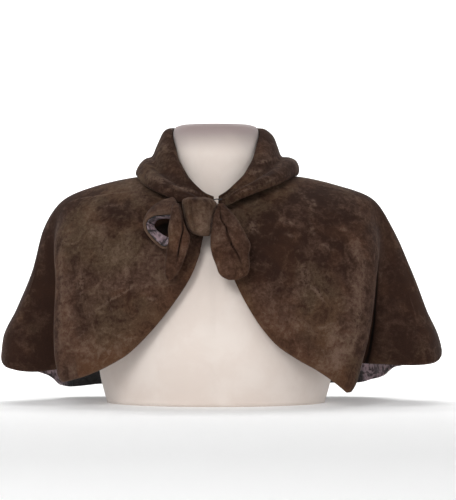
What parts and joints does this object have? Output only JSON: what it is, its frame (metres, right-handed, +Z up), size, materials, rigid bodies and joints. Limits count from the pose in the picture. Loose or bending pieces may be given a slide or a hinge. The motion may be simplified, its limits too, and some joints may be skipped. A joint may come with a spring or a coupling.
{
  "type": "velvet shoulder capelet on dress form",
  "caption": "Short velvet shoulder capelet with a folded scarf collar tied in a half bow, cutaway fronts and satin lining, on a plain bust form.",
  "frame": {"origin": "centre of the bust form's flat foot, where it stands", "axes": "+Z up, the wearer faces -Y, +X is on the viewer's right"},
  "size_m": [0.5603, 0.2833, 0.3515],
  "materials": {
    "velvet": "short brown pile, rubbed in places",
    "lining": "smooth mauve grey satin",
    "cord": "thin black cord",
    "form": "plain off-white jersey cover"
  },
  "bodies": {
    "root": {"bust_form": "form", "back_panel": "velvet", "front_left": "velvet", "front_right": "velvet", "lining_back": "lining", "collar": "velvet", "knot": "velvet", "bow_loop": "velvet", "lining_bow_loop": "lining", "tail_left": "velvet", "tail_right": "velvet", "neck_loop": "cord"}
  },
  "joints": []
}
